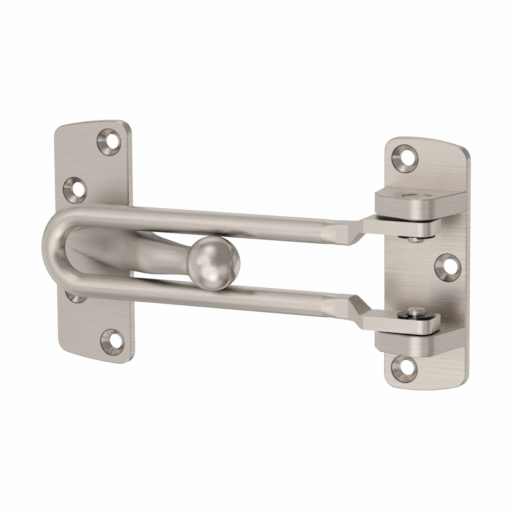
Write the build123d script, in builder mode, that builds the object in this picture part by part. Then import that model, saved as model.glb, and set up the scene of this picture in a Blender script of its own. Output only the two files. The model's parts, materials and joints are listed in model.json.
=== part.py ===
"""Door restrictor: a U-shaped swing arm on a hinge bracket, held by the ball of a door keep.

Frame: the origin is the centre of the hinge plate's back face. X runs along the wall towards the
hinge side, Y runs into the wall, and Z runs up. The person in the room stands at negative Y.
The arm is shown swung over the ball, as when the door may open only a little.
All lengths are in millimetres.
"""

import os
from math import sqrt

from build123d import *

# Both plates.
plate_width = 27.6
hinge_plate_height = 80.1
keep_plate_height = 81.2
plate_thickness = 3.2
plate_corner_radius = 4.4
plate_edge_chamfer = 0.4
plate_pitch = 117.6

# The crowned ends are arcs that peak on the side facing the other plate.
hinge_crown_radius = 60.0
hinge_crown_offset = -5.3
keep_crown_radius = 105.0
keep_crown_offset = 12.2

# Countersunk screw holes for number 8 screws.
screw_hole_diameter = 5.0
screw_sink_diameter = 8.8
screw_sink_angle = 90.0
end_hole_height = 33.4
inner_hole_height = 16.7
hinge_end_hole_offset = 6.8
hinge_middle_hole_offset = 7.6
keep_end_hole_offset = 6.9
keep_inner_hole_offset = 6.1

# Hinge pins, on one upright axis in front of the hinge plate.
pin_x = 2.6
pin_reach = 14.0
pin_diameter = 5.5
pin_head_diameter = 8.8
pin_head_height = 2.0
pin_head_sink = 0.4
pin_end_chamfer = 0.5
pin_tail = 2.5
head_clearance = 0.12
shank_clearance = 0.03
running_clearance = 0.08

# Lugs of the hinge bracket.
lug_thickness = 6.4
lug_gap = 36.0
lug_edge_chamfer = 0.3
lug_nose_radius = 6.0
lug_cheek_radius = 0.8
lug_foot_inset = 0.15
lug_cheek_x = -11.9
lug_cheek_reach = 12.3
lug_front_x = -8.2
lug_front_reach = 17.8
lug_nose_x = 8.4
lug_nose_reach = 23.4

# Retaining clips on the pins.
clip_diameter = 11.7
clip_thickness = 0.8
clip_groove_diameter = 4.2
clip_window_radius = 3.5
clip_prong_width = 2.0
clip_mouth_width = 2.9
clip_tip_radius = 0.6
clip_mouth_angle = -84.0
clip_side_clearance = 0.05
clip_bore_clearance = 0.02

# Swing arm: a round bar bent to a U, with its two ends forged square, cranked and flattened.
bar_diameter = 7.8
bar_pitch = 23.2
arm_length = 127.0
arm_drop = 0.27
squared_height = 7.0
squared_width = 7.0
squared_inner_radius = 1.3
squared_outer_radius = 1.0
squared_length = 4.0
squared_blend = 5.0
crank_from_pin = 21.2
crank_length = 4.4
crank_shoulder = 1.4
crank_sweep = 4.5
tab_thickness = 4.3
tab_gap = 25.9
tab_front = 5.7
tab_rear_start = 5.9
tab_rear_end = 7.2
tab_nose = 6.0
tab_nose_radius = 3.3
tab_heel_radius = 2.2

# Ball and stalk of the keep.
ball_diameter = 17.3
ball_x = -63.3
ball_reach = 20.7
neck_diameter = 8.9
neck_flat = 0.5
neck_depth_in_ball = 2.6

half_width = plate_width / 2
front_y = -plate_thickness
keep_x = -plate_pitch
pin_y = front_y - pin_reach
lug_inner_z = lug_gap / 2
lug_outer_z = lug_inner_z + lug_thickness
bar_z = bar_pitch / 2
bend_x = pin_x - arm_length + bar_z
tab_inner_z = tab_gap / 2
tab_outer_z = tab_inner_z + tab_thickness
ball_y = front_y - ball_reach

# The arm has dropped until its upper tab rests on the upper clip. The lower pin has dropped too,
# until its own clip rests on the lower tab.
groove_top_z = tab_inner_z - arm_drop - clip_side_clearance
pin_end_z = groove_top_z - pin_tail
lower_pin_drop = 2 * arm_drop


def crown_fall(x, crown_radius, crown_offset):
    """Fall of a plate's crowned end below its peak, at a place across the plate."""
    return crown_radius - sqrt(crown_radius**2 - (x - crown_offset) ** 2)


def plate_outline(plate_height, crown_radius, crown_offset):
    """Plate outline: straight sides, crowned ends and rounded corners."""
    peak_z = plate_height / 2
    left_z = peak_z - crown_fall(-half_width, crown_radius, crown_offset)
    right_z = peak_z - crown_fall(half_width, crown_radius, crown_offset)
    with BuildSketch() as outline:
        with BuildLine():
            top = ThreePointArc((-half_width, left_z), (crown_offset, peak_z), (half_width, right_z))
            right = Line(top @ 1, (half_width, -right_z))
            bottom = ThreePointArc(right @ 1, (crown_offset, -peak_z), (-half_width, -left_z))
            Line(bottom @ 1, top @ 0)
        make_face()
        fillet(outline.vertices(), plate_corner_radius)
    return outline.sketch


def ease_front_edges(part):
    """Take the sharp edge off the outline of a plate's front face."""
    chamfer(part.faces().sort_by(Axis.Y)[0].edges(), plate_edge_chamfer)


def sink_screws(centre_x, places):
    """Countersunk screw holes through a plate, from its front face."""
    front = Plane(origin=(centre_x, front_y, 0), x_dir=(1, 0, 0), z_dir=(0, -1, 0))
    with Locations(front):
        with Locations(*places):
            CounterSinkHole(
                radius=screw_hole_diameter / 2,
                counter_sink_radius=screw_sink_diameter / 2,
                counter_sink_angle=screw_sink_angle,
            )


# Hinge bracket: one casting, a plate with two lugs.
with BuildPart() as hinge_bracket:
    with BuildSketch(Plane.XZ):
        add(plate_outline(hinge_plate_height, hinge_crown_radius, hinge_crown_offset))
    extrude(amount=plate_thickness)
    ease_front_edges(hinge_bracket)
    with BuildSketch(Plane.XY.offset(lug_inner_z)) as lug_plan:
        with BuildLine():
            Polyline(
                (-half_width + plate_edge_chamfer, front_y / 2),
                (-half_width + plate_edge_chamfer, front_y),
                (lug_cheek_x, front_y - lug_cheek_reach),
                (lug_front_x, front_y - lug_front_reach),
                (lug_nose_x, front_y - lug_nose_reach),
                (half_width - lug_foot_inset, front_y),
                (half_width - lug_foot_inset, front_y / 2),
                close=True,
            )
        make_face()
        fillet(lug_plan.vertices().sort_by(Axis.Y)[0], lug_nose_radius)
        left_corners = lug_plan.vertices().filter_by(lambda v: v.X < lug_front_x / 2)
        fillet(left_corners.filter_by(lambda v: v.Y < front_y - lug_cheek_reach / 2), lug_cheek_radius)
    extrude(amount=lug_thickness)
    lug_rims = hinge_bracket.faces().filter_by(Axis.Z).filter_by(lambda f: f.center().Z > lug_inner_z / 2)
    rim_edges = lug_rims.edges().filter_by(lambda e: e.center().Y < front_y - lug_edge_chamfer)
    chamfer(rim_edges, lug_edge_chamfer)
    with Locations((pin_x, pin_y, lug_outer_z)):
        CounterBoreHole(
            radius=pin_diameter / 2 + shank_clearance,
            counter_bore_radius=pin_head_diameter / 2 + head_clearance,
            counter_bore_depth=pin_head_height + pin_head_sink,
            depth=lug_thickness,
        )
    split(bisect_by=Plane.XY, keep=Keep.TOP)
    mirror(about=Plane.XY)
    sink_screws(0, [(-hinge_end_hole_offset, side * end_hole_height) for side in (1, -1)])
    sink_screws(0, [(hinge_middle_hole_offset, 0)])
hinge_bracket.part.label = "hinge_bracket"

# Headed hinge pin, upper one, turned in one piece.
with BuildPart() as upper_pin:
    with BuildSketch(Plane.XZ.offset(-pin_y)):
        with BuildLine():
            shank_r = pin_diameter / 2
            groove_r = clip_groove_diameter / 2
            groove_low_z = groove_top_z - clip_thickness - clip_side_clearance
            head_top_z = lug_outer_z - pin_head_sink
            Polyline(
                (pin_x, head_top_z),
                (pin_x + pin_head_diameter / 2, head_top_z),
                (pin_x + pin_head_diameter / 2, head_top_z - pin_head_height),
                (pin_x + shank_r, head_top_z - pin_head_height),
                (pin_x + shank_r, groove_top_z),
                (pin_x + groove_r, groove_top_z),
                (pin_x + groove_r, groove_low_z),
                (pin_x + shank_r, groove_low_z),
                (pin_x + shank_r, pin_end_z + pin_end_chamfer),
                (pin_x + shank_r - pin_end_chamfer, pin_end_z),
                (pin_x, pin_end_z),
                close=True,
            )
        make_face()
    revolve(axis=Axis((pin_x, pin_y, 0), (0, 0, 1)))
upper_pin.part.label = "upper_pin"

# Retaining clip, an E shape cut from spring strip: a ring with a mouth and three inner prongs.
clip_plane = Plane(origin=(pin_x, pin_y, groove_top_z - clip_thickness), z_dir=(0, 0, 1))
with BuildPart() as upper_clip:
    with BuildSketch(clip_plane.rotated((0, 0, clip_mouth_angle))) as clip_plan:
        Circle(clip_diameter / 2)
        Circle(clip_window_radius, mode=Mode.SUBTRACT)
        with PolarLocations(clip_window_radius, 3, start_angle=90, angular_range=180, endpoint=True):
            Rectangle(clip_window_radius, clip_prong_width)
        Circle(clip_groove_diameter / 2 + clip_bore_clearance, mode=Mode.SUBTRACT)
        with Locations((clip_diameter / 2, 0)):
            Rectangle(clip_diameter, clip_mouth_width, mode=Mode.SUBTRACT)
        fillet(clip_plan.vertices().group_by(Axis.X)[-1], clip_tip_radius)
    extrude(amount=clip_thickness)
upper_clip.part.label = "upper_clip"

# The lower pin and clip are the same parts, turned over and dropped.
with BuildPart() as lower_pin:
    add(mirror(upper_pin.part, about=Plane.XY, mode=Mode.PRIVATE).moved(Location((0, 0, -lower_pin_drop))))
lower_pin.part.label = "lower_pin"

with BuildPart() as lower_clip:
    add(mirror(upper_clip.part, about=Plane.XY, mode=Mode.PRIVATE).moved(Location((0, 0, -lower_pin_drop))))
lower_clip.part.label = "lower_clip"

# Forged end of the arm: squared bar, crank and flat tab, drawn from the side and cut to its plan.
# Heights in these two sketches are taken from the middle of the dropped arm.
arm_level = Plane.XY.offset(-arm_drop)
arm_plane = Plane(origin=(0, pin_y, -arm_drop), x_dir=(1, 0, 0), z_dir=(0, -1, 0))
crank_x = pin_x - crank_from_pin
squared_x = crank_x - squared_length
tab_x = crank_x + crank_length
shoulder_x = crank_x + crank_shoulder
sweep_end_x = shoulder_x + crank_sweep
nose_x = pin_x + tab_nose
round_end_x = squared_x - squared_blend
squared_low_z = bar_z - squared_height / 2
squared_high_z = bar_z + squared_height / 2

with BuildPart() as forged_end:
    with BuildSketch(arm_plane):
        with BuildLine():
            Polyline(
                (squared_x, squared_high_z),
                (squared_x, squared_low_z),
                (crank_x, squared_low_z),
                (tab_x, tab_inner_z),
                (nose_x, tab_inner_z),
                (nose_x, tab_outer_z),
                (sweep_end_x, tab_outer_z),
            )
            Spline((sweep_end_x, tab_outer_z), (shoulder_x, squared_high_z), tangents=[(-1, 0), (-1, 0)])
            Line((shoulder_x, squared_high_z), (squared_x, squared_high_z))
        make_face()
    extrude(amount=plate_width, both=True)
    with BuildSketch(arm_level) as tab_plan:
        with BuildLine():
            Polyline(
                (squared_x, pin_y + squared_width / 2),
                (squared_x, pin_y - squared_width / 2),
                (crank_x, pin_y - squared_width / 2),
                (sweep_end_x, pin_y - tab_front),
                (nose_x, pin_y - tab_front),
                (nose_x, pin_y + tab_rear_end),
                (sweep_end_x, pin_y + tab_rear_start),
                (crank_x, pin_y + squared_width / 2),
                close=True,
            )
        make_face()
        fillet(tab_plan.vertices().group_by(Axis.X)[-1].sort_by(Axis.Y)[0], tab_nose_radius)
        fillet(tab_plan.vertices().group_by(Axis.X)[-1].sort_by(Axis.Y)[-1], tab_heel_radius)
    extrude(amount=lug_outer_z, mode=Mode.INTERSECT)
    for side, radius in ((0, squared_inner_radius), (-1, squared_outer_radius)):
        bar_edges = forged_end.edges().filter_by(Axis.X).filter_by(lambda e: e.center().X < crank_x)
        fillet(bar_edges.group_by(Axis.Z)[side], radius)
    squared_face = forged_end.faces().sort_by(Axis.X)[0]
    with BuildSketch(Plane(origin=(round_end_x, pin_y, bar_z - arm_drop), z_dir=(1, 0, 0))) as bar_section:
        Circle(bar_diameter / 2)
    loft(sections=[bar_section.sketch.face(), squared_face])
    with Locations((pin_x, pin_y, tab_outer_z - arm_drop)):
        Hole(pin_diameter / 2 + running_clearance, depth=tab_thickness)

with BuildPart() as swing_arm:
    with BuildLine(arm_plane) as bar_route:
        upper_run = Line((round_end_x, bar_z), (bend_x, bar_z))
        bend = ThreePointArc(upper_run @ 1, (bend_x - bar_z, 0), (bend_x, -bar_z))
        Line(bend @ 1, (round_end_x, -bar_z))
    with BuildSketch(Plane(origin=bar_route.line @ 0, z_dir=bar_route.line % 0)):
        Circle(bar_diameter / 2)
    sweep()
    add(forged_end.part)
    add(mirror(forged_end.part, about=arm_level, mode=Mode.PRIVATE))
swing_arm.part.label = "swing_arm"

# Keep: one casting, a plate whose middle rises into a stalk that carries the ball.
# A section of the stalk has a rounded front, two flat sides and a rounded back. Each row ends with
# the depth of the front, the run of the sides, the depth of the back and half the height.
# Over the plate, a row starts with its place as a share of half the plate's width, and the reach
# of its side edges from the plate's front.
stalk_foot = (
    (-0.84, -0.9, 0.6, 1.0, 0.15, 1.6),
    (-0.066, 0.3, 1.7, 1.6, 0.2, 5.0),
    (0.5, 1.3, 3.5, 2.4, 0.2, 6.9),
    (1.0, 3.4, 5.1, 5.0, 0.25, 7.9),
)
# Beyond the plate, a row starts with its share of the way from the plate's edge to the ball, and
# the reach of its side edges as a share of the ball's.
stalk_run = (
    (0.1, 0.30, 5.4, 6.6, 0.4, 7.3),
    (0.225, 0.525, 5.5, 6.8, 0.8, 6.4),
    (0.42, 0.81, 5.1, 5.0, 1.3, 5.6),
    (0.59, 0.90, 4.7, 3.0, 2.3, 4.95),
    (0.765, 0.96, 4.2, 0.5, 4.2, 4.45),
)


def stalk_section(x, side_reach, front_depth, side_run, back_depth, half_height):
    """Section across the stalk, at a place along the wall."""
    section_plane = Plane(origin=(x, 0, 0), x_dir=(0, 1, 0), z_dir=(1, 0, 0))
    front_edge = front_y - side_reach
    back_edge = front_edge + side_run
    with BuildSketch(section_plane) as section:
        with BuildLine():
            front_middle = (front_edge, 0)
            back_middle = (back_edge, 0)
            front = EllipticalCenterArc(front_middle, front_depth, half_height, start_angle=90, arc_size=180)
            Line(front @ 1, (back_edge, -half_height))
            back = EllipticalCenterArc(back_middle, back_depth, half_height, start_angle=-90, arc_size=180)
            Line(back @ 1, front @ 0)
        make_face()
    return section.sketch.face()


plate_edge_x = keep_x + half_width
free_run = ball_x - plate_edge_x
neck_round = (neck_diameter - neck_flat) / 2
neck_x = ball_x - ball_diameter / 2 + neck_depth_in_ball

# The foot and the free run share the section at the plate's edge, where the stalk has a crease.
foot_sections = [stalk_section(keep_x + share * half_width, *row) for share, *row in stalk_foot]
run_sections = [foot_sections[-1]]
for share, reach_share, *row in stalk_run:
    run_sections.append(stalk_section(plate_edge_x + share * free_run, reach_share * ball_reach, *row))
run_sections.append(
    stalk_section(neck_x, ball_reach + neck_flat / 2, neck_round, neck_flat, neck_round, neck_diameter / 2)
)

with BuildPart() as keep:
    with BuildSketch(Plane.XZ):
        with Locations((keep_x, 0)):
            add(plate_outline(keep_plate_height, keep_crown_radius, keep_crown_offset))
    extrude(amount=plate_thickness)
    ease_front_edges(keep)
    loft(sections=foot_sections)
    loft(sections=run_sections)
    with Locations((ball_x, ball_y, 0)):
        Sphere(ball_diameter / 2)
    sink_screws(keep_x, [(keep_end_hole_offset, side * end_hole_height) for side in (1, -1)])
    sink_screws(keep_x, [(-keep_inner_hole_offset, side * inner_hole_height) for side in (1, -1)])
keep.part.label = "keep"

os.makedirs("parts", exist_ok=True)
for piece in (hinge_bracket, upper_pin, lower_pin, upper_clip, lower_clip, swing_arm, keep):
    export_step(piece.part, f"parts/{piece.part.label}.step")
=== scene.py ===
"""Looks of the door restrictor: satin nickel castings, a brushed arm, turned pins and black clips.

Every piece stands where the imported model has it. This script gives the surfaces their finish, runs
a smooth skin over the keep's stalk, and sets the studio and the camera. Lengths are in metres unless
a name ends in _mm.
"""

import json
import logging
import math
from dataclasses import dataclass
from enum import Enum

import bpy
import numpy as np
from mathutils import Matrix, Vector


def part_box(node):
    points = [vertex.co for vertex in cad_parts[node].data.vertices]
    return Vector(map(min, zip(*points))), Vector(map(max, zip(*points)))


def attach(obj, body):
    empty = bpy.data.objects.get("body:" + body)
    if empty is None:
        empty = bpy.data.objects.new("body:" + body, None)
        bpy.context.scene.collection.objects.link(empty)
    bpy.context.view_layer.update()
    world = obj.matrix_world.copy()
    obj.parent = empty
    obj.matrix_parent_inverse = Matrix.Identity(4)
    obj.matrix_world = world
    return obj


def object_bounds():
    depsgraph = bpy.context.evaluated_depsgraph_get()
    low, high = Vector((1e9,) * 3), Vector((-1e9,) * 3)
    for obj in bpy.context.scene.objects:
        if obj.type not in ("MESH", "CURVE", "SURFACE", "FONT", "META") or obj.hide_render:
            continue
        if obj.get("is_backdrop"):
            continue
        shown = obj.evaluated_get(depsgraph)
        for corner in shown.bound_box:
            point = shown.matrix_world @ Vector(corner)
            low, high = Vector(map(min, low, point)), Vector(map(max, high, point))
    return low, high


log = logging.getLogger("door_restrictor")

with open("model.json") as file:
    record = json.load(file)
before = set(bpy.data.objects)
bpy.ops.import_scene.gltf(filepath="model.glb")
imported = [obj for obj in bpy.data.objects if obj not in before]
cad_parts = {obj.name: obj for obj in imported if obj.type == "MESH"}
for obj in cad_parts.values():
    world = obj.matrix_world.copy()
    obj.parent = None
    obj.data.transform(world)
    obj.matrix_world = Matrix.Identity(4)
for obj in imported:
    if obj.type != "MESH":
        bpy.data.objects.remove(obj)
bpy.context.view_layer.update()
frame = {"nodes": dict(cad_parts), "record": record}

MM = 0.001

# Sizes that the pieces' boxes don't give by themselves.
BAR_DIAMETER = 7.8 * MM
BALL_DIAMETER = 17.3 * MM
SINK_DIAMETER = 8.8 * MM
PLATE_THICKNESS = 3.2 * MM

# Strokes run along the wall, with a slight rise, so that they are never square to a surface. The
# lean does the same for the arm's strokes, whose vector is as long as the bend's radius.
STROKE_ACROSS = (1.0, 0.0, 0.05)
SLIGHT_LEAN = 0.6 * MM

MATH = "ShaderNodeMath"
VECTOR_MATH = "ShaderNodeVectorMath"
WHITE = "#FFFFFF"

Tree = bpy.types.NodeTree
Socket = bpy.types.NodeSocket
Place = tuple[float, float, float]


class BrushLay(Enum):
    """Way the marks of the last polish run over a surface."""

    ACROSS = "across, along the wall"
    ALONG_ARM = "along the arm and round its bend"
    ROUND_PIN = "round the pin's axis, as turned"


def linear_colour(hex_code: str) -> tuple[float, float, float, float]:
    """Turn an sRGB hex value into the linear colour that a shader takes.

    Args:
        hex_code: colour such as "#D4CDC0".

    Returns:
        Linear red, green, blue and an alpha of one.
    """
    parts = [int(hex_code[i : i + 2], 16) / 255 for i in (1, 3, 5)]
    linear = [p / 12.92 if p <= 0.04045 else ((p + 0.055) / 1.055) ** 2.4 for p in parts]
    return (*linear, 1.0)


def add_node(tree: Tree, kind: str, feeds: dict | tuple = (), **settings) -> bpy.types.Node:
    """Add a node with its settings, and feed its inputs.

    Args:
        tree: node tree that the node goes into.
        kind: the node's type name.
        feeds: values or sockets, in the order of the inputs or under their names.
        settings: the node's own properties.

    Returns:
        The new node.
    """
    made = tree.nodes.new(kind)
    for key, value in settings.items():
        setattr(made, key, value)
    for key, value in feeds.items() if isinstance(feeds, dict) else enumerate(feeds):
        if isinstance(value, bpy.types.NodeSocket):
            tree.links.new(value, made.inputs[key])
        else:
            made.inputs[key].default_value = value
    return made


def blank_material(name: str) -> tuple[bpy.types.Material, Tree]:
    """Make a material with no nodes.

    Args:
        name: the material's name.

    Returns:
        The material and its node tree.
    """
    made = bpy.data.materials.new(name)
    made.use_nodes = True
    made.node_tree.nodes.clear()
    return made, made.node_tree


@dataclass(frozen=True)
class ArmPath:
    """Middle line of the arm's bar, for marks that follow it round the bend."""

    bend_x: float
    level_z: float
    bend_radius: float

    @classmethod
    def of_arm(cls, bend_reach: float = 30 * MM) -> "ArmPath":
        """Read the path from the arm's mesh.

        Args:
            bend_reach: length at the arm's low X end that holds only its round bar.

        Returns:
            The path, whose bend is half a circle at the arm's low X end.
        """
        low_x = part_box("swing_arm")[0].x
        corners = frame["nodes"]["swing_arm"].data.vertices
        heights = [corner.co.z for corner in corners if corner.co.x < low_x + bend_reach]
        radius = (max(heights) - min(heights) - BAR_DIAMETER) / 2
        level = (max(heights) + min(heights)) / 2
        return cls(low_x + BAR_DIAMETER / 2 + radius, level, radius)

    def marks(self, tree: Tree, place: Socket) -> Socket:
        """Turn a place on the arm into (way along the bar, way off its bend's centre, Y).

        Past the bend's centre the way along is the radius times the angle turned, and the way off
        is the distance from the centre. On the straight runs they are X and the height.

        Args:
            tree: node tree that the sums belong to.
            place: object coordinates.

        Returns:
            The vector socket for a pattern.
        """
        x, y, z = add_node(tree, "ShaderNodeSeparateXYZ", (place,)).outputs
        beyond = add_node(tree, MATH, (self.bend_x, x), operation="SUBTRACT").outputs[0]
        past = add_node(tree, MATH, (beyond, 0.0), operation="MAXIMUM").outputs[0]
        rise = add_node(tree, MATH, (z, self.level_z), operation="SUBTRACT").outputs[0]
        height = add_node(tree, MATH, (rise,), operation="ABSOLUTE").outputs[0]
        angle = add_node(tree, MATH, (past, height), operation="ARCTAN2").outputs[0]
        turned = add_node(tree, MATH, (angle, self.bend_radius), operation="MULTIPLY").outputs[0]
        run = add_node(tree, MATH, (x, self.bend_x), operation="MAXIMUM").outputs[0]
        along = add_node(tree, MATH, (run, turned), operation="SUBTRACT").outputs[0]
        from_centre = add_node(tree, "ShaderNodeCombineXYZ", (past, height)).outputs[0]
        off = add_node(tree, VECTOR_MATH, (from_centre,), operation="LENGTH").outputs["Value"]
        return add_node(tree, "ShaderNodeCombineXYZ", (along, off, y)).outputs[0]

    def heading(self, tree: Tree, place: Socket) -> Socket:
        """Way that the bar runs at a place: along X on the straight runs, and round the bend past it.

        It is a quarter turn from the line between the bend's centre and the place.

        Args:
            tree: node tree that the sums belong to.
            place: object coordinates.

        Returns:
            The vector socket, whose length doesn't matter.
        """
        x, _, z = add_node(tree, "ShaderNodeSeparateXYZ", (place,)).outputs
        beyond = add_node(tree, MATH, (self.bend_x, x), operation="SUBTRACT").outputs[0]
        past = add_node(tree, MATH, (beyond, 0.0), operation="MAXIMUM").outputs[0]
        height = add_node(tree, MATH, (z, self.level_z), operation="SUBTRACT").outputs[0]
        return add_node(tree, "ShaderNodeCombineXYZ", (height, SLIGHT_LEAN, past)).outputs[0]


@dataclass(frozen=True)
class PolishedBall:
    """Round part of a casting that was buffed brighter than the rest."""

    centre: Place
    radius: float
    fade_mm: float = 1.6
    roughness: float = 0.19
    relief: float = 0.1

    @classmethod
    def of_keep(cls) -> "PolishedBall":
        """Find the ball at the keep's front and right ends.

        Returns:
            The ball's zone.
        """
        low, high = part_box("keep")
        radius = BALL_DIAMETER / 2
        return cls((high.x - radius, low.y + radius, 0.0), radius)

    def share(self, tree: Tree, place: Socket) -> Socket:
        """Share of the polish at a place: one on the ball, and none a little way off it.

        Args:
            tree: the material's node tree.
            place: object coordinates.

        Returns:
            The share's socket.
        """
        ends = (place, self.centre)
        away = add_node(tree, VECTOR_MATH, ends, operation="DISTANCE").outputs["Value"]
        span = {"Value": away, "From Min": self.radius + self.fade_mm * MM, "From Max": self.radius}
        return add_node(tree, "ShaderNodeMapRange", span, interpolation_type="SMOOTHSTEP").outputs[0]


def smooth_through(stations: np.ndarray, values: np.ndarray, places: np.ndarray) -> np.ndarray:
    """Run one smooth curve through values at uneven stations.

    Between two stations the curve is a cubic. Its slope and its bend carry on across each station,
    and the bend is nothing at both ends.

    Args:
        stations: places that the values belong to, in rising order.
        values: one row for each station.
        places: places to work out.

    Returns:
        One row for each place.
    """
    gaps = np.diff(stations)[:, None]
    slopes = np.diff(values, axis=0) / gaps
    matrix = np.eye(len(stations))
    inner = np.arange(1, len(stations) - 1)
    matrix[inner, inner - 1] = gaps[:-1, 0]
    matrix[inner, inner] = 2 * (gaps[:-1, 0] + gaps[1:, 0])
    matrix[inner, inner + 1] = gaps[1:, 0]
    turns = np.zeros_like(values)
    turns[1:-1] = 6 * np.diff(slopes, axis=0)
    bends = np.linalg.solve(matrix, turns)
    left = np.clip(np.searchsorted(stations, places, side="right") - 1, 0, len(stations) - 2)
    gap = gaps[left]
    ahead = (places - stations[left])[:, None] / gap
    behind = 1 - ahead
    straight = behind * values[left] + ahead * values[left + 1]
    bow = (behind**3 - behind) * bends[left] + (ahead**3 - ahead) * bends[left + 1]
    return straight + bow * gap**2 / 6


@dataclass
class KeepStalk:
    """Stalk of the keep, as one smooth sweep from the tongue on the plate to the neck at the ball.

    It is a thin skin over the casting's own stalk, which has a crease at the plate's edge. A section
    has a round front, two flat sides and a round back. Each row gives its place as a share of the
    way from the plate's middle to the ball's, and then, in millimetres, how far its side edges stand
    out from the plate, the depth of its front, the run of its sides, the depth of its back and half
    its height.
    """

    ball: PolishedBall
    skin_mm: float = 0.15
    flare_mm: float = 0.25
    flare_run_mm: float = 1.8
    places_along: int = 150
    places_round: int = 72
    sections: tuple[tuple[float, ...], ...] = (
        (-0.2135, -0.9, 0.6, 1.0, 0.15, 1.6),
        (-0.017, 0.3, 2.3, 1.6, 0.2, 5.0),
        (0.127, 1.3, 4.3, 2.4, 0.2, 6.8),
        (0.254, 3.4, 5.6, 5.0, 0.25, 7.8),
        (0.329, 6.2, 5.7, 6.6, 0.5, 7.3),
        (0.422, 10.9, 5.5, 6.8, 0.95, 6.45),
        (0.567, 16.8, 5.1, 5.0, 1.3, 5.6),
        (0.694, 18.6, 4.7, 3.0, 2.3, 4.95),
        (0.825, 19.9, 4.2, 0.5, 4.2, 4.45),
        (0.889, 20.95, 4.2, 0.5, 4.2, 4.45),
    )

    def surface(self) -> np.ndarray:
        """Work out the skin's points.

        Along the stalk every size follows one smooth curve through the sections. Round a section
        the height is half the section's height times the sine of the turn. The depth is the depth
        of the front or the back times the cosine, and the back starts beyond the flat sides. A
        flare starts just before the ball, where all three depths grow with the square of the way.

        Returns:
            Points, as an array of places along, places round, and X, Y and Z.
        """
        rows = np.array(self.sections)
        mounts = {mount["name"]: mount["pos_m"] for mount in frame["record"]["mounts"]}
        plate_x = mounts["keep_plate_back"][0]
        share = np.linspace(rows[0, 0], rows[-1, 0], self.places_along)
        sizes = smooth_through(rows[:, 0], rows[:, 1:], share) * MM
        reach, front, run, back, half = sizes.T[:, :, None]
        x = plate_x + share[:, None] * (self.ball.centre[0] - plate_x)
        flare_run = self.flare_run_mm * MM
        flare_start = self.ball.centre[0] - self.ball.radius - flare_run / 2
        into_flare = np.clip((x - flare_start) / flare_run, 0, None)
        proud = (self.skin_mm + self.flare_mm * into_flare**2) * MM
        turn = np.linspace(0, 2 * np.pi, self.places_round, endpoint=False)[None, :]
        facing_room = np.cos(turn) > 0
        side_y = -PLATE_THICKNESS - reach
        start_y = np.where(facing_room, side_y, side_y + run)
        depth = np.where(facing_room, front, back) + proud
        y = start_y - depth * np.cos(turn)
        z = (half + proud) * np.sin(turn)
        return np.stack([np.broadcast_to(x, y.shape), y, z], axis=-1)

    def faces(self) -> list[list[int]]:
        """Join each ring of points to the next by quads, and each end ring to its middle by a fan.

        Returns:
            The faces' points. The middles of the two ends come after all the rings.
        """
        around, rings = self.places_round, self.places_along
        near = np.arange(around)
        following = np.roll(near, -1)
        step = np.arange(rings - 1)[:, None] * around
        quads = np.stack(
            [step + near, step + around + near, step + around + following, step + following], axis=-1
        )
        foot_middle = np.full(around, rings * around)
        top_ring = (rings - 1) * around
        foot = np.stack([foot_middle, near, following], axis=-1)
        top = np.stack([foot_middle + 1, top_ring + following, top_ring + near], axis=-1)
        return quads.reshape(-1, 4).tolist() + foot.tolist() + top.tolist()

    def build(self, material: bpy.types.Material) -> None:
        """Make the skin's mesh and give it its finish.

        Args:
            material: the stalk's finish.
        """
        points = self.surface()
        middles = points[[0, -1]].mean(axis=1)
        corners = np.concatenate([points.reshape(-1, 3), middles])
        mesh = bpy.data.meshes.new("keep_stalk")
        mesh.from_pydata(corners.tolist(), [], self.faces())
        mesh.shade_smooth()
        mesh.materials.append(material)
        piece = bpy.data.objects.new("keep_stalk", mesh)
        bpy.context.scene.collection.objects.link(piece)
        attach(piece, "keep")
        log.info("built keep_stalk with %d faces", len(mesh.polygons))


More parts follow.
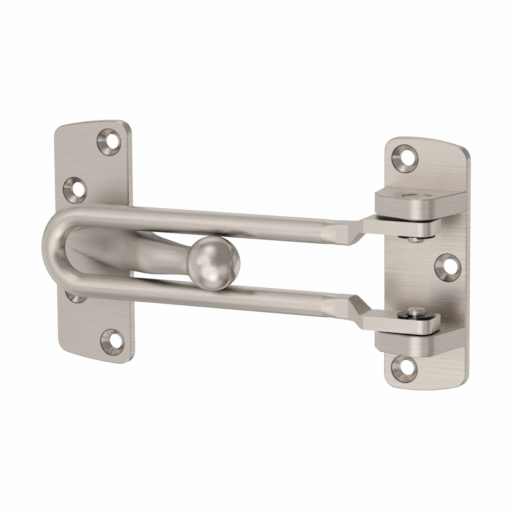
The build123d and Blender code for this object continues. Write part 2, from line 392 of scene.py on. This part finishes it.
@dataclass(frozen=True)
class ScrewSinks:
    """Countersunk holes of a plate: cones ringed by the cutter, rims with a painted line of shade."""

    centres: tuple[Place, ...]
    radius: float = SINK_DIAMETER / 2
    bore_half_mm: float = 0.6
    rim_shade_mm: float = 0.3
    # Colour of the painted shade line round each sink's rim.
    rim_shade_colour: str = "#2C2520"
    roughness: float = 0.16

    @classmethod
    def of_mounts(cls, *names: str) -> "ScrewSinks":
        """Find the holes from the record's screw mounts, whose patterns stand one hole above another.

        Args:
            names: the mounts' names.

        Returns:
            The sinks.
        """
        centres = []
        for mount in frame["record"]["mounts"]:
            if mount["name"] in names:
                x, y, z = mount["pos_m"]
                half_pitch = mount["dims"].get("spacing_y_mm", 0.0) * MM / 2
                centres += [(x, y, z + side * half_pitch) for side in ((1, -1) if half_pitch else (1,))]
        return cls(tuple(centres))

    def offset(self, tree: Tree, place: Socket, centre: Place) -> tuple[Socket, Socket]:
        """Offset of a place from a hole's centre, and its distance from the hole's axis.

        A hole's centre is the middle of its straight bore. Behind the bore's front end the distance
        gets a metre more, so that no mark reaches the plate's back.

        Args:
            tree: the material's node tree.
            place: object coordinates.
            centre: the hole's centre.

        Returns:
            The offset's vector socket, and the distance's socket.
        """
        offset = add_node(tree, VECTOR_MATH, (place, centre), operation="SUBTRACT").outputs[0]
        level = add_node(tree, VECTOR_MATH, (offset, (1.0, 0.0, 1.0)), operation="MULTIPLY").outputs[0]
        distance = add_node(tree, VECTOR_MATH, (level,), operation="LENGTH").outputs["Value"]
        inward = add_node(tree, "ShaderNodeSeparateXYZ", (offset,)).outputs["Y"]
        bore_front = -self.bore_half_mm * MM
        behind = add_node(tree, MATH, (inward, bore_front), operation="GREATER_THAN").outputs[0]
        return offset, add_node(tree, MATH, (distance, behind), operation="ADD").outputs[0]

    def line(self, tree: Tree, place: Socket, elsewhere: Place) -> Socket | Place:
        """Way that the marks run: round the hole inside a sink, and as given elsewhere.

        Args:
            tree: the material's node tree.
            place: object coordinates.
            elsewhere: the way that the plate's marks run.

        Returns:
            The vector socket.
        """
        way: Socket | Place = elsewhere
        for centre in self.centres:
            offset, away = self.offset(tree, place, centre)
            inside = add_node(tree, MATH, (away, self.radius), operation="LESS_THAN").outputs[0]
            round_hole = add_node(
                tree, VECTOR_MATH, ((0.0, 1.0, 0.0), offset), operation="CROSS_PRODUCT"
            ).outputs[0]
            feeds = {"Factor": inside, "A": way, "B": round_hole}
            way = add_node(tree, "ShaderNodeMix", feeds, data_type="VECTOR").outputs["Result"]
        return way

    def inside(self, tree: Tree, place: Socket) -> Socket | float:
        """Share of the cutter's finish at a place: one inside a sink, and none on the plate.

        Args:
            tree: the material's node tree.
            place: object coordinates.

        Returns:
            The share's socket.
        """
        total: Socket | float = 0.0
        for centre in self.centres:
            away = self.offset(tree, place, centre)[1]
            near = add_node(tree, MATH, (away, self.radius), operation="LESS_THAN").outputs[0]
            total = add_node(tree, MATH, (total, near), operation="MAXIMUM").outputs[0]
        return total

    def rim(self, tree: Tree, place: Socket) -> Socket | float:
        """Share of the painted shade line round each sink: one on the rim, and none a little way off
        it.

        Args:
            tree: the material's node tree.
            place: object coordinates.

        Returns:
            The share's socket.
        """
        total: Socket | float = 0.0
        for centre in self.centres:
            away = self.offset(tree, place, centre)[1]
            past = add_node(tree, MATH, (away, self.radius), operation="SUBTRACT").outputs[0]
            off = add_node(tree, MATH, (past,), operation="ABSOLUTE").outputs[0]
            feeds = {"Value": off, "From Min": self.rim_shade_mm * MM, "From Max": 0.0}
            near = add_node(tree, "ShaderNodeMapRange", feeds).outputs[0]
            total = add_node(tree, MATH, (total, near), operation="MAXIMUM").outputs[0]
        return total


@dataclass(frozen=True)
class SatinNickel:
    """Nickel plate over metal, brushed to a satin.

    The brush leaves long fine scratches one way, so a highlight stays narrow along them and smears
    across them. Real scratches are under 0.1 mm wide, too fine to show at this size, so they are
    drawn as coarse as they need. Grooves and gaps get painted shade: where an occlusion test finds
    little light, a nearly black colour is mixed into the metal's colour.
    """

    name: str
    lay: BrushLay
    colour: str = "#DBD3CB"
    deep_colour: str = "#CDC4BB"
    # Painted shade: where the occlusion test finds little light, this nearly black colour goes into the
    # metal's.
    painted_shade_colour: str = "#2E221A"
    painted_shade_reach_mm: float = 3.0
    painted_shade_open: float = 0.5
    painted_shade_samples: int = 8
    roughness_low: float = 0.24
    roughness_high: float = 0.33
    anisotropy: float = 0.8
    relief: float = 0.45
    mark_length_mm: float = 22.0
    mark_reach_mm: float = 3.5
    mark_width_mm: float = 0.3
    mark_depth_mm: float = 0.008
    mark_detail: float = 4.0
    mark_raggedness: float = 0.65
    mark_low: float = 0.3
    mark_high: float = 0.7
    path: ArmPath | None = None
    ball: PolishedBall | None = None
    sinks: ScrewSinks | None = None
    axis: Place = (0.0, 0.0, 0.0)

    def from_axis(self, tree: Tree, place: Socket) -> Socket:
        """Offset of a place from the pin's upright axis, with no height.

        Args:
            tree: the material's node tree.
            place: object coordinates.

        Returns:
            The vector socket.
        """
        offset = add_node(tree, VECTOR_MATH, (place, self.axis), operation="SUBTRACT").outputs[0]
        return add_node(tree, VECTOR_MATH, (offset, (1.0, 1.0, 0.0)), operation="MULTIPLY").outputs[0]

    def pattern_place(self, tree: Tree, place: Socket) -> Socket:
        """Coordinates in which the marks run along the first axis.

        Args:
            tree: the material's node tree.
            place: object coordinates.

        Returns:
            The vector socket.
        """
        if self.lay is BrushLay.ALONG_ARM:
            return self.path.marks(tree, place)
        if self.lay is BrushLay.ROUND_PIN:
            offset = self.from_axis(tree, place)
            away = add_node(tree, VECTOR_MATH, (offset,), operation="LENGTH").outputs["Value"]
            height = add_node(tree, "ShaderNodeSeparateXYZ", (place,)).outputs["Z"]
            return add_node(tree, "ShaderNodeCombineXYZ", (0.0, away, height)).outputs[0]
        return place

    def brush_line(self, tree: Tree, place: Socket) -> Socket | Place:
        """Way that the marks run at a place.

        Args:
            tree: the material's node tree.
            place: object coordinates.

        Returns:
            A vector, or the socket that holds one.
        """
        if self.lay is BrushLay.ALONG_ARM:
            return self.path.heading(tree, place)
        if self.lay is BrushLay.ROUND_PIN:
            offset = self.from_axis(tree, place)
            return add_node(
                tree, VECTOR_MATH, ((0.0, 0.0, 1.0), offset), operation="CROSS_PRODUCT"
            ).outputs[0]
        return self.sinks.line(tree, place, STROKE_ACROSS) if self.sinks else STROKE_ACROSS

    def smear(self, tree: Tree, place: Socket) -> Socket:
        """Way that a highlight smears: along the surface, square to the marks.

        Args:
            tree: the material's node tree.
            place: object coordinates.

        Returns:
            The vector socket, in world space, which the shader takes as its tangent.
        """
        line = add_node(
            tree,
            "ShaderNodeVectorTransform",
            (self.brush_line(tree, place),),
            vector_type="VECTOR",
            convert_from="OBJECT",
            convert_to="WORLD",
        ).outputs[0]
        facing = add_node(tree, "ShaderNodeNewGeometry").outputs["Normal"]
        return add_node(tree, VECTOR_MATH, (facing, line), operation="CROSS_PRODUCT").outputs[0]

    def marks(self, tree: Tree, place: Socket) -> Socket:
        """Height of the brush marks: a noise drawn out along them.

        Args:
            tree: the material's node tree.
            place: object coordinates.

        Returns:
            The height's socket, between none and one.
        """
        reach = self.mark_reach_mm if self.lay is BrushLay.ACROSS else self.mark_width_mm
        spans = (self.mark_length_mm, reach, self.mark_width_mm)
        per_metre = tuple(1 / (span * MM) for span in spans)
        drawn_out = {"Vector": self.pattern_place(tree, place), "Scale": per_metre}
        grain = {
            "Vector": add_node(tree, "ShaderNodeMapping", drawn_out).outputs[0],
            "Scale": 1.0,
            "Detail": self.mark_detail,
            "Roughness": self.mark_raggedness,
        }
        return add_node(tree, "ShaderNodeTexNoise", grain).outputs["Fac"]

    def tone(self, tree: Tree, place: Socket, bright: Socket) -> Socket:
        """Colour of the metal: deeper between the marks, with painted shade on the sinks' rims.

        Args:
            tree: the material's node tree.
            place: object coordinates.
            bright: share of the lighter colour.

        Returns:
            The colour's socket.
        """
        deep, light = linear_colour(self.deep_colour), linear_colour(self.colour)
        brushed = {"Factor": bright, "A": deep, "B": light}
        tone = add_node(tree, "ShaderNodeMix", brushed, data_type="RGBA").outputs["Result"]
        if self.sinks:
            # Painted shade: a dark line mixed in round each sink's rim.
            dark = linear_colour(self.sinks.rim_shade_colour)
            rim_shaded = {"Factor": self.sinks.rim(tree, place), "A": tone, "B": dark}
            tone = add_node(tree, "ShaderNodeMix", rim_shaded, data_type="RGBA").outputs["Result"]
        return tone

    def painted_shade_openness(self, tree: Tree, polish: Socket | float) -> Socket:
        """Share of light that reaches a place: all in the open and on the ball, and none in a gap.

        Where it is low, material() paints shade by mixing a nearly black colour into the metal's
        colour.

        Args:
            tree: the material's node tree.
            polish: share of the ball's polish.

        Returns:
            The share's socket.
        """
        around = add_node(
            tree,
            "ShaderNodeAmbientOcclusion",
            {"Distance": self.painted_shade_reach_mm * MM},
            samples=self.painted_shade_samples,
        ).outputs["AO"]
        feeds = {"Value": around, "From Max": self.painted_shade_open}
        light = add_node(tree, "ShaderNodeMapRange", feeds, interpolation_type="SMOOTHSTEP").outputs[0]
        return add_node(tree, MATH, (light, polish), operation="MAXIMUM").outputs[0]

    def roughness(self, tree: Tree, place: Socket, bright: Socket, polish: Socket | float) -> Socket:
        """Roughness of the metal: less on the marks' crests, in the sinks and on the ball.

        Args:
            tree: the material's node tree.
            place: object coordinates.
            bright: share of the crests.
            polish: share of the ball's polish.

        Returns:
            The roughness's socket.
        """
        span = {"Value": bright, "To Min": self.roughness_high, "To Max": self.roughness_low}
        rough = add_node(tree, "ShaderNodeMapRange", span).outputs[0]
        if self.sinks:
            cut = {"Factor": self.sinks.inside(tree, place), "A": rough, "B": self.sinks.roughness}
            rough = add_node(tree, "ShaderNodeMix", cut).outputs["Result"]
        if self.ball:
            buffed = {"Factor": polish, "A": rough, "B": self.ball.roughness}
            rough = add_node(tree, "ShaderNodeMix", buffed).outputs["Result"]
        return rough

    def material(self) -> bpy.types.Material:
        """Build the finish.

        Returns:
            A metal whose colour, roughness and relief follow the brush marks, with painted shade in its
            gaps.
        """
        made, tree = blank_material(self.name)
        place = add_node(tree, "ShaderNodeTexCoord").outputs["Object"]
        marks = self.marks(tree, place)
        crest = {"Value": marks, "From Min": self.mark_low, "From Max": self.mark_high}
        bright = add_node(tree, "ShaderNodeMapRange", crest).outputs[0]
        polish: Socket | float = 0.0
        depth: Socket | float = self.relief
        if self.ball:
            polish = self.ball.share(tree, place)
            worn = {"Factor": polish, "A": self.relief, "B": self.ball.relief}
            depth = add_node(tree, "ShaderNodeMix", worn).outputs["Result"]
        # Painted shade: the nearly black colour is mixed in where little light reaches.
        lit = {
            "Factor": self.painted_shade_openness(tree, polish),
            "A": linear_colour(self.painted_shade_colour),
            "B": self.tone(tree, place, bright),
        }
        colour = add_node(tree, "ShaderNodeMix", lit, data_type="RGBA").outputs["Result"]
        bumps = {"Height": marks, "Distance": self.mark_depth_mm * MM, "Strength": depth}
        surface = {
            "Base Color": colour,
            "Roughness": self.roughness(tree, place, bright, polish),
            "Metallic": 1.0,
            "Normal": add_node(tree, "ShaderNodeBump", bumps).outputs[0],
            "Anisotropic": self.anisotropy,
            "Tangent": self.smear(tree, place),
        }
        metal = add_node(tree, "ShaderNodeBsdfPrincipled", surface).outputs[0]
        add_node(tree, "ShaderNodeOutputMaterial", (metal,))
        return made


@dataclass(frozen=True)
class BlackOxide:
    """Black oxide on spring steel: nearly black, with cool glints and a fine uneven grain."""

    name: str = "black_oxide_spring_steel"
    colour: str = "#2A2E33"
    deep_colour: str = "#15171A"
    roughness: float = 0.28
    grain_mm: float = 0.5
    grain_detail: float = 3.0
    grain_depth_mm: float = 0.01

    def material(self) -> bpy.types.Material:
        """Build the finish.

        Returns:
            A dark metal with a mottled tone.
        """
        made, tree = blank_material(self.name)
        place = add_node(tree, "ShaderNodeTexCoord").outputs["Object"]
        spots = {"Vector": place, "Scale": 1 / (self.grain_mm * MM), "Detail": self.grain_detail}
        grain = add_node(tree, "ShaderNodeTexNoise", spots).outputs["Fac"]
        feeds = {"Factor": grain, "A": linear_colour(self.deep_colour), "B": linear_colour(self.colour)}
        bumps = {"Height": grain, "Distance": self.grain_depth_mm * MM}
        surface = {
            "Base Color": add_node(tree, "ShaderNodeMix", feeds, data_type="RGBA").outputs["Result"],
            "Roughness": self.roughness,
            "Metallic": 1.0,
            "Normal": add_node(tree, "ShaderNodeBump", bumps).outputs[0],
        }
        metal = add_node(tree, "ShaderNodeBsdfPrincipled", surface).outputs[0]
        add_node(tree, "ShaderNodeOutputMaterial", (metal,))
        return made


@dataclass
class Hardware:
    """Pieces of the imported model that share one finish."""

    pieces: tuple[str, ...]
    finish: SatinNickel | BlackOxide

    def dress(self) -> None:
        """Give each piece the finish, in the material slots that it has."""
        material = self.finish.material()
        for name in self.pieces:
            for place in frame["nodes"][name].material_slots:
                place.material = material
            log.info("dressed %s in %s", name, material.name)


@dataclass(frozen=True)
class Softbox:
    """Soft patch of light in the studio, far away in one direction, or a dark patch if it takes light.

    The bearing is counted from straight in front, towards the hinge side. The height is an angle
    above the horizon. The light is full within one angle from the middle and gone past another.
    In the world a patch is a lamp. On the floor it is a painted pool of light, or painted shade when
    it takes light, which only the rays that metal sends on see.
    """

    bearing_deg: float
    height_deg: float
    full_deg: float
    fade_deg: float
    strength: float

    def light(self, tree: Tree, direction: Socket) -> Socket:
        """Strength of the patch in a direction.

        Args:
            tree: the node tree that looks at the patch.
            direction: unit vector looked along.

        Returns:
            The strength's socket.
        """
        bearing, height = math.radians(self.bearing_deg), math.radians(self.height_deg)
        level = math.cos(height)
        axis = (level * math.sin(bearing), -level * math.cos(bearing), math.sin(height))
        nearness = add_node(tree, VECTOR_MATH, (direction, axis), operation="DOT_PRODUCT")
        feeds = {
            "Value": nearness.outputs["Value"],
            "From Min": math.cos(math.radians(self.fade_deg)),
            "From Max": math.cos(math.radians(self.full_deg)),
            "To Max": self.strength,
        }
        return add_node(tree, "ShaderNodeMapRange", feeds, interpolation_type="SMOOTHSTEP").outputs[0]


@dataclass
class Studio:
    """White room with soft light, a pale floor well below the part, and the photograph's camera."""

    room_level: float = 0.18
    backdrop_in_metal: float = 0.2
    floor_drop: float = 0.26
    floor_half: float = 30.0
    floor_colour: str = "#E6E0D8"
    floor_white_share: float = 0.98
    floor_level: float = 0.42
    focal_mm: float = 186.05
    sensor_mm: float = 36.0
    nearest_seen: float = 0.01
    farthest_seen: float = 100.0
    camera_place: Place = (0.29331, -0.76150, 0.14818)
    yaw_deg: float = 24.857
    pitch_deg: float = 10.104
    roll_deg: float = -0.401
    # A broad light high in front and its bright middle, the low front light that the plates mirror,
    # a glow round the camera, the light over the wall, and one light at each side.
    overhead: tuple[Softbox, ...] = (
        Softbox(350, 58, 14, 40, 0.60),
        Softbox(350, 66, 6, 20, 0.55),
        Softbox(345, 8, 14, 40, 0.95),
        Softbox(20, 12, 8, 26, 0.18),
        Softbox(215, 40, 12, 36, 0.75),
        Softbox(122, 6, 8, 28, 0.50),
        Softbox(290, 6, 16, 50, 0.50),
    )
    # Painted pools of light on the floor, which metal sees in place of lamp light off it: in front,
    # into the ball's low highlight, on the hinge side, behind, two on the keep's side, straight
    # below, and a patch of painted shade low behind, which takes light.
    painted_floor_pools: tuple[Softbox, ...] = (
        Softbox(8, -28, 16, 46, 0.90),
        Softbox(28, -54, 6, 20, 0.55),
        Softbox(65, -22, 8, 28, 0.40),
        Softbox(155, -20, 10, 32, 0.50),
        Softbox(250, -22, 14, 44, 0.30),
        Softbox(296, -14, 12, 40, 0.35),
        Softbox(0, -88, 12, 34, 0.45),
        Softbox(148, -54, 10, 28, -0.30),
    )

    def lit_level(
        self, tree: Tree, direction: Socket, level: float, patches: tuple[Softbox, ...]
    ) -> Socket:
        """Add up the patches of light that lie in a direction, over an even level.

        Args:
            tree: the node tree that looks at the patches.
            direction: unit vector looked along.
            level: light that comes from everywhere.
            patches: soft patches.

        Returns:
            The strength's socket, never below zero.
        """
        total: Socket | float = level
        for patch in patches:
            more = patch.light(tree, direction)
            total = add_node(tree, MATH, (total, more), operation="ADD").outputs[0]
        return add_node(tree, MATH, (total, 0.0), operation="MAXIMUM").outputs[0]

    def ray_kinds(self, tree: Tree) -> tuple[Socket, Socket]:
        """Tell rays apart: those of the camera, and those that a metal or a glass sends on.

        Args:
            tree: the node tree that the rays meet.

        Returns:
            One socket for each kind, which is one for its rays and none for the rest.
        """
        rays = add_node(tree, "ShaderNodeLightPath").outputs
        sent_on = (rays["Is Glossy Ray"], rays["Is Transmission Ray"])
        return rays["Is Camera Ray"], add_node(tree, MATH, sent_on, operation="MAXIMUM").outputs[0]

    def build_world(self) -> None:
        """Light the room with soft patches, and show its white where the camera and the metal look."""
        world = bpy.data.worlds.new("studio_room")
        world.use_nodes = True
        tree = world.node_tree
        tree.nodes.clear()
        direction = add_node(tree, "ShaderNodeTexCoord").outputs["Generated"]
        level = self.lit_level(tree, direction, self.room_level, self.overhead)
        from_camera, sent_on = self.ray_kinds(tree)
        part = add_node(tree, MATH, (sent_on, self.backdrop_in_metal), operation="MULTIPLY").outputs[0]
        seen = add_node(tree, MATH, (from_camera, part), operation="MAXIMUM").outputs[0]
        whitened = {"Factor": seen, "A": level, "B": 1.0}
        strength = add_node(tree, "ShaderNodeMix", whitened).outputs["Result"]
        lamp = {"Color": linear_colour(WHITE), "Strength": strength}
        glow = add_node(tree, "ShaderNodeBackground", lamp).outputs[0]
        add_node(tree, "ShaderNodeOutputWorld", (glow,))
        bpy.context.scene.world = world

    def floor_material(self, part_centre: Vector) -> bpy.types.Material:
        """Build the floor's finish: matt and pale, and mostly white where the camera and metal look.

        Metal sees painted pools of light on it, over an even level, and a patch of painted shade.

        Args:
            part_centre: middle of the part, which the directions are counted from.

        Returns:
            The material.
        """
        made, tree = blank_material("pale_floor")
        place = add_node(tree, "ShaderNodeTexCoord").outputs["Object"]
        ends = (place, tuple(part_centre))
        offset = add_node(tree, VECTOR_MATH, ends, operation="SUBTRACT").outputs[0]
        direction = add_node(tree, VECTOR_MATH, (offset,), operation="NORMALIZE").outputs[0]
        # Painted pools of light and painted shade, seen only by the rays that metal sends on.
        painted_pools = self.lit_level(tree, direction, self.floor_level, self.painted_floor_pools)
        from_camera, sent_on = self.ray_kinds(tree)
        whitened = {"Factor": from_camera, "A": painted_pools, "B": 1.0}
        bright = add_node(tree, "ShaderNodeMix", whitened).outputs["Result"]
        seen = add_node(tree, MATH, (from_camera, sent_on), operation="MAXIMUM").outputs[0]
        share = add_node(tree, MATH, (seen, self.floor_white_share), operation="MULTIPLY").outputs[0]
        paint = {"Color": linear_colour(self.floor_colour)}
        matt = add_node(tree, "ShaderNodeBsdfDiffuse", paint).outputs[0]
        lamp = {"Color": linear_colour(WHITE), "Strength": bright}
        glow = add_node(tree, "ShaderNodeEmission", lamp).outputs[0]
        mixed = add_node(tree, "ShaderNodeMixShader", (share, matt, glow)).outputs[0]
        add_node(tree, "ShaderNodeOutputMaterial", (mixed,))
        return made

    def build_floor(self) -> None:
        """Lay the floor, which keeps a soft shadow and melts into the white where the camera looks."""
        low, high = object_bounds()
        z = low.z - self.floor_drop
        half = self.floor_half
        corners = [(-half, -half, z), (half, -half, z), (half, half, z), (-half, half, z)]
        mesh = bpy.data.meshes.new("floor")
        mesh.from_pydata(corners, [], [(0, 1, 2, 3)])
        mesh.materials.append(self.floor_material((low + high) / 2))
        floor = bpy.data.objects.new("floor", mesh)
        bpy.context.scene.collection.objects.link(floor)
        floor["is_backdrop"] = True

    def build_camera(self) -> None:
        """Stand the camera where the photograph was taken from.

        It looks down and to the left: yaw turns it about Z, pitch tips it down, and roll turns it
        about its own line of sight.
        """
        yaw, pitch, roll = (math.radians(a) for a in (self.yaw_deg, self.pitch_deg, self.roll_deg))
        level = math.cos(pitch)
        ahead = Vector((-math.sin(yaw) * level, math.cos(yaw) * level, -math.sin(pitch)))
        level_right = Vector((math.cos(yaw), math.sin(yaw), 0))
        level_up = level_right.cross(ahead)
        right = math.cos(roll) * level_right + math.sin(roll) * level_up
        up = math.cos(roll) * level_up - math.sin(roll) * level_right
        turn = Matrix((right, up, -ahead)).transposed().to_4x4()
        lens = bpy.data.cameras.new("camera")
        lens.sensor_width = self.sensor_mm
        lens.lens = self.focal_mm
        lens.clip_start = self.nearest_seen
        lens.clip_end = self.farthest_seen
        camera = bpy.data.objects.new("camera", lens)
        camera.matrix_world = Matrix.Translation(self.camera_place) @ turn
        bpy.context.scene.collection.objects.link(camera)
        bpy.context.scene.camera = camera

    def build(self) -> None:
        """Set up the whole studio."""
        self.build_world()
        self.build_floor()
        self.build_camera()
        bpy.context.scene.view_settings.view_transform = "Standard"
        log.info("built the studio")


def pin_axis() -> Place:
    """Place of the pins' upright axis, at the middle of the upper pin's box and no height."""
    low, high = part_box("upper_pin")
    return (low.x + high.x) / 2, (low.y + high.y) / 2, 0.0


def main() -> None:
    """Dress every piece, build the stalk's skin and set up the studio."""
    logging.basicConfig(level=logging.INFO, format="%(message)s")
    ball = PolishedBall.of_keep()
    hinge_sinks = ScrewSinks.of_mounts("hinge_end_screws", "hinge_middle_screw")
    keep_sinks = ScrewSinks.of_mounts("keep_end_screws", "keep_inner_screws")
    # Painted shade reaches further round the arm than round the lugs, and furthest behind the arm's
    # slot.
    at_arm = {"painted_shade_reach_mm": 7.0, "painted_shade_open": 0.72}
    in_slot = {"painted_shade_reach_mm": 14.0, "painted_shade_open": 0.95}
    bracket = SatinNickel("brushed_nickel_bracket", BrushLay.ACROSS, sinks=hinge_sinks)
    keep = SatinNickel(
        "brushed_nickel_keep", BrushLay.ACROSS, sinks=keep_sinks, ball=ball, **in_slot
    )
    bar = SatinNickel("brushed_nickel_bar", BrushLay.ALONG_ARM, path=ArmPath.of_arm(), **at_arm)
    turned = SatinNickel(
        "turned_nickel_pin", BrushLay.ROUND_PIN, colour="#D2C6B8", axis=pin_axis()
    )
    # The brush doesn't reach the stalk, which is only tumbled: rougher, and nearly even all round.
    stalk = SatinNickel(
        "tumbled_nickel_stalk",
        BrushLay.ACROSS,
        roughness_low=0.36,
        roughness_high=0.42,
        anisotropy=0.2,
        relief=0.25,
        **in_slot,
    )
    KeepStalk(ball).build(stalk.material())
    for group in (
        Hardware(("hinge_bracket",), bracket),
        Hardware(("keep",), keep),
        Hardware(("swing_arm",), bar),
        Hardware(("upper_pin", "lower_pin"), turned),
        Hardware(("upper_clip", "lower_clip"), BlackOxide()),
    ):
        group.dress()
    Studio().build()


if __name__ == "__main__":
    main()
